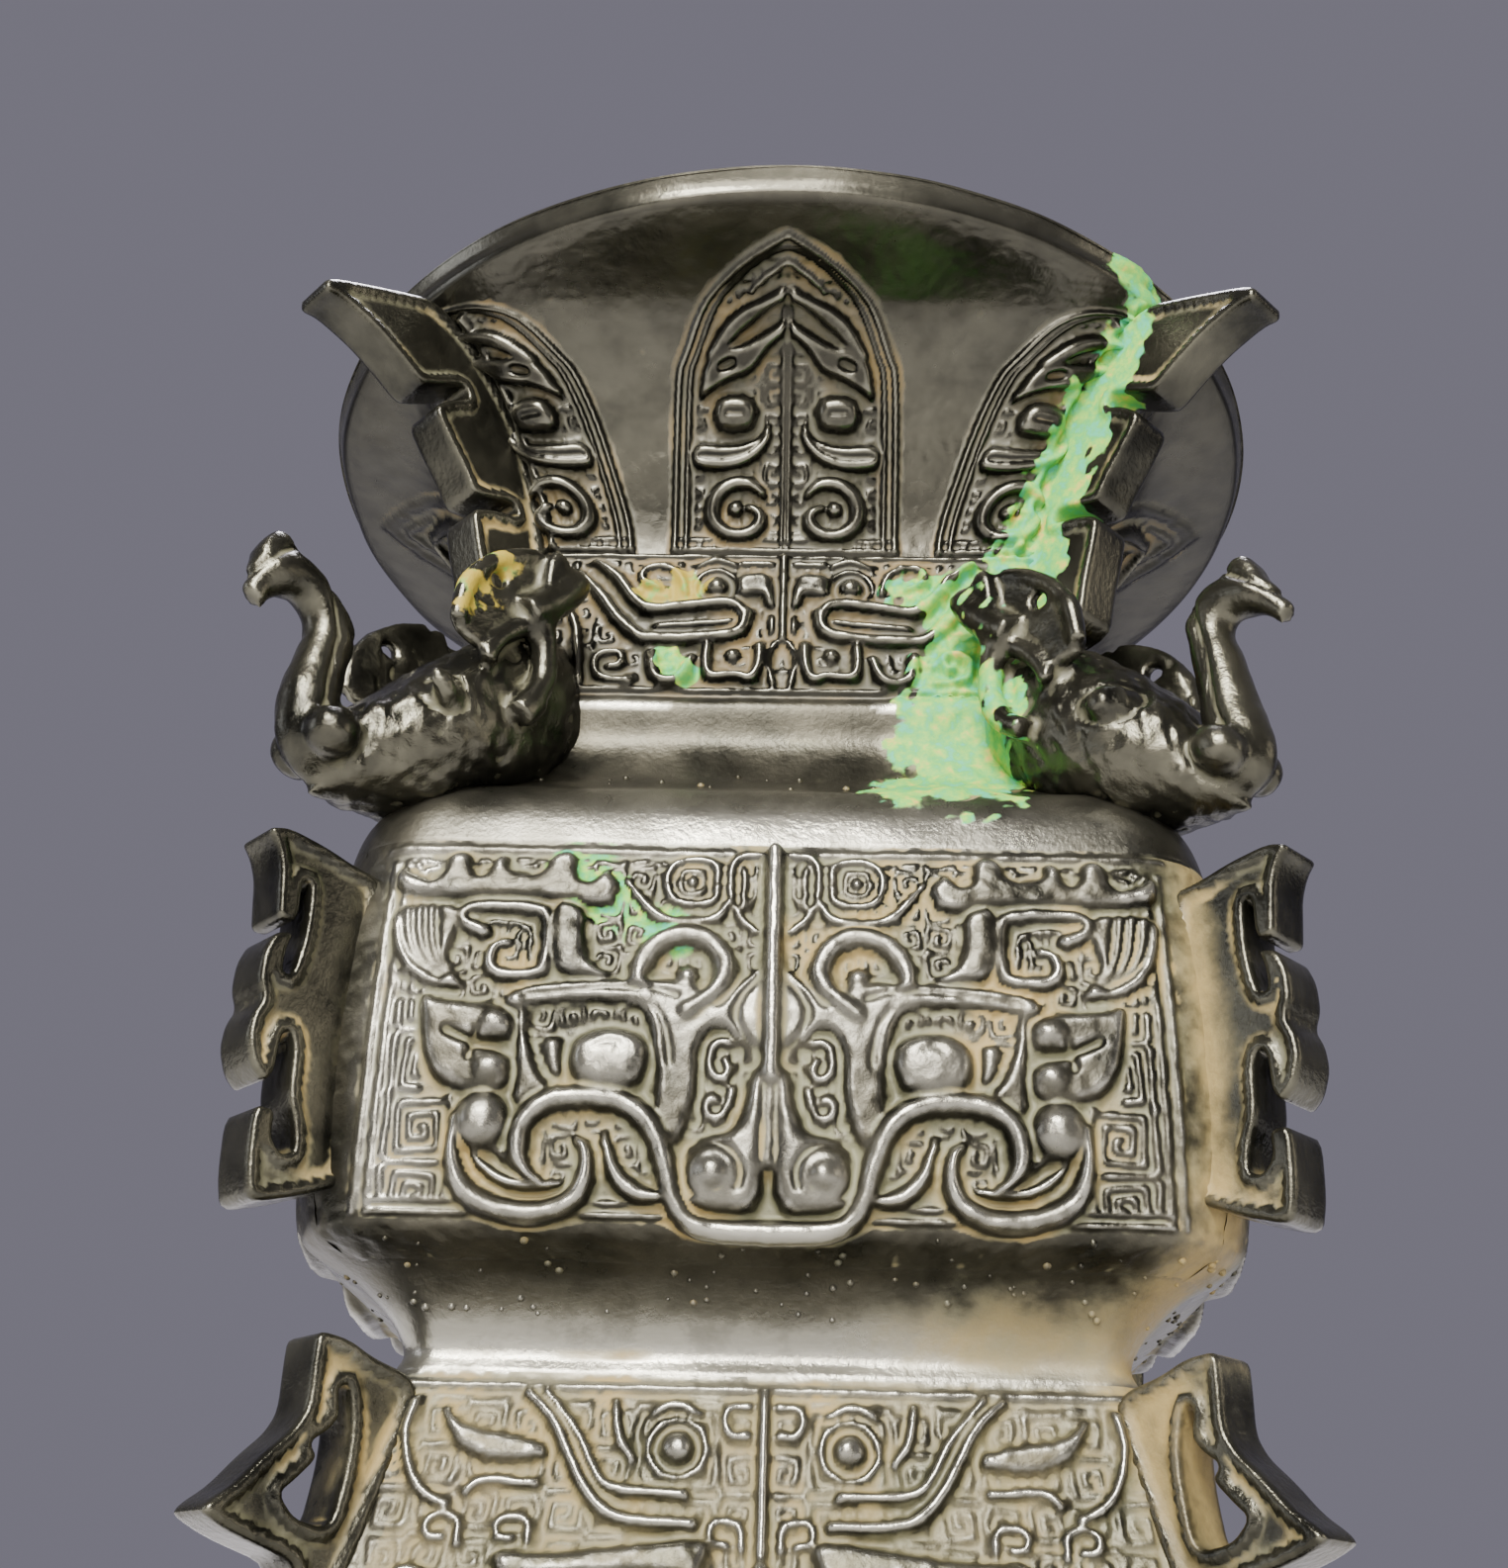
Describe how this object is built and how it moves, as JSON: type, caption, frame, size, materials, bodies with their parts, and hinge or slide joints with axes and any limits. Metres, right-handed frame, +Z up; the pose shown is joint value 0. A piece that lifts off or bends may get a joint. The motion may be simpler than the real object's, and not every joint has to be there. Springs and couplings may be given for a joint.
{
  "type": "zun wine vessel",
  "caption": "Square cast bronze zun with a round flaring mouth, mask panels, notched corner flanges, elephant heads on its shoulders and a hollow splayed foot.",
  "frame": {"origin": "centre of the foot's underside, on the ground", "axes": "+Z up through the mouth, -Y towards the front face of the picture, +X to that face's right"},
  "size_m": [0.163, 0.163, 0.204],
  "materials": {
    "zun": "dark olive brown patinated bronze, glossy on the raised parts, with dry ochre earth in the recesses and a malachite patch"
  },
  "bodies": {
    "root": {"zun": "zun"}
  },
  "joints": []
}
